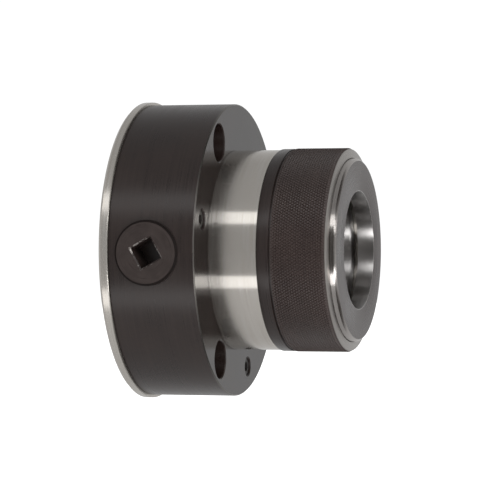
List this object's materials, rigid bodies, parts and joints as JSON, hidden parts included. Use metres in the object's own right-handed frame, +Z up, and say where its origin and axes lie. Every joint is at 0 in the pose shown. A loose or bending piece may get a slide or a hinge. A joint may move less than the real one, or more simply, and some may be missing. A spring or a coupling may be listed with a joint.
{
  "type": "lathe collet chuck",
  "caption": "Key-operated collet chuck for a lathe spindle: a bolt-on flange with pinions, a ground neck and a knurled nose cap round a polished opening.",
  "frame": {"origin": "centre of the rear mounting face", "axes": "+X along the spindle axis towards the nose, +Z up, +Y across; the first pinion faces -Y"},
  "size_m": [0.0948, 0.1274, 0.1274],
  "materials": {
    "body_steel": "dark, smooth turned and ground steel",
    "ground_steel": "bright ground steel",
    "cap_steel": "knurled hardened steel",
    "face_steel": "ground hardened steel",
    "polished_steel": "polished hardened steel",
    "pinion_steel": "hardened steel",
    "gear_steel": "machined steel",
    "screw_steel": "black oxide steel",
    "bearing_steel": "bright bearing steel",
    "bronze": "machined bronze",
    "seal_rubber": "matt black"
  },
  "bodies": {
    "chuck_frame": {"body": "body_steel", "rear_cover": "ground_steel", "cover_screws": "screw_steel", "cover_dowels": "bearing_steel", "pinion_lock_screws": "screw_steel", "rear_thrust_washer": "bearing_steel", "front_thrust_washer": "bronze", "sleeve_key": "gear_steel", "key_screws": "screw_steel"},
    "bevel_ring": {"bevel_ring": "gear_steel"},
    "needle_cage": {"needle_cage": "bronze", "thrust_needles": "bearing_steel"},
    "closing_sleeve": {"closing_sleeve": "polished_steel", "sleeve_seal": "seal_rubber", "collet_pin": "bearing_steel"},
    "face_ring": {"face_ring": "face_steel"},
    "nose_cap": {"nose_cap": "cap_steel", "cap_wire_ring": "screw_steel"},
    "pinion_1": {"pinion_1": "pinion_steel", "pinion_seal_1": "seal_rubber"},
    "pinion_2": {"pinion_2": "pinion_steel", "pinion_seal_2": "seal_rubber"},
    "pinion_3": {"pinion_3": "pinion_steel", "pinion_seal_3": "seal_rubber"}
  },
  "joints": [
    {"name": "bevel_ring_turn", "type": "hinge", "parent": "chuck_frame", "child": "bevel_ring", "pos_m": [0, 0, 0], "axis": [1, 0, 0], "range_deg": [-270, 270]},
    {"name": "needle_cage_turn", "type": "hinge", "parent": "chuck_frame", "child": "needle_cage", "pos_m": [0, 0, 0], "axis": [1, 0, 0], "range_deg": [-135.5, 135.5]},
    {"name": "sleeve_slide", "type": "slide", "parent": "chuck_frame", "child": "closing_sleeve", "axis": [1, 0, 0], "range_m": [-0.00301, 0.00301]},
    {"name": "cap_turn", "type": "hinge", "parent": "face_ring", "child": "nose_cap", "pos_m": [0, 0, 0], "axis": [1, 0, 0], "range_deg": [0, 3960]},
    {"name": "cap_advance", "type": "slide", "parent": "chuck_frame", "child": "face_ring", "axis": [1, 0, 0], "range_m": [0, 0.02201]},
    {"name": "pinion_1_turn", "type": "hinge", "parent": "chuck_frame", "child": "pinion_1", "pos_m": [0.0206, 0, 0], "axis": [0, -1, 0], "range_deg": [-1621, 1621]},
    {"name": "pinion_2_turn", "type": "hinge", "parent": "chuck_frame", "child": "pinion_2", "pos_m": [0.0206, 0, 0], "axis": [0, 0.5, -0.866], "range_deg": [-1621, 1621]},
    {"name": "pinion_3_turn", "type": "hinge", "parent": "chuck_frame", "child": "pinion_3", "pos_m": [0.0206, 0, 0], "axis": [0, 0.5, 0.866], "range_deg": [-1621, 1621]}
  ],
  "couplings": [
    {"joint": "needle_cage_turn", "follows": "bevel_ring_turn", "ratio": 0.5},
    {"joint": "sleeve_slide", "follows": "bevel_ring_turn", "m_per_rad": -0.00063662},
    {"joint": "cap_advance", "follows": "cap_turn", "m_per_rad": 0.00031831},
    {"joint": "pinion_1_turn", "follows": "bevel_ring_turn", "ratio": 6},
    {"joint": "pinion_2_turn", "follows": "bevel_ring_turn", "ratio": 6},
    {"joint": "pinion_3_turn", "follows": "bevel_ring_turn", "ratio": 6}
  ]
}
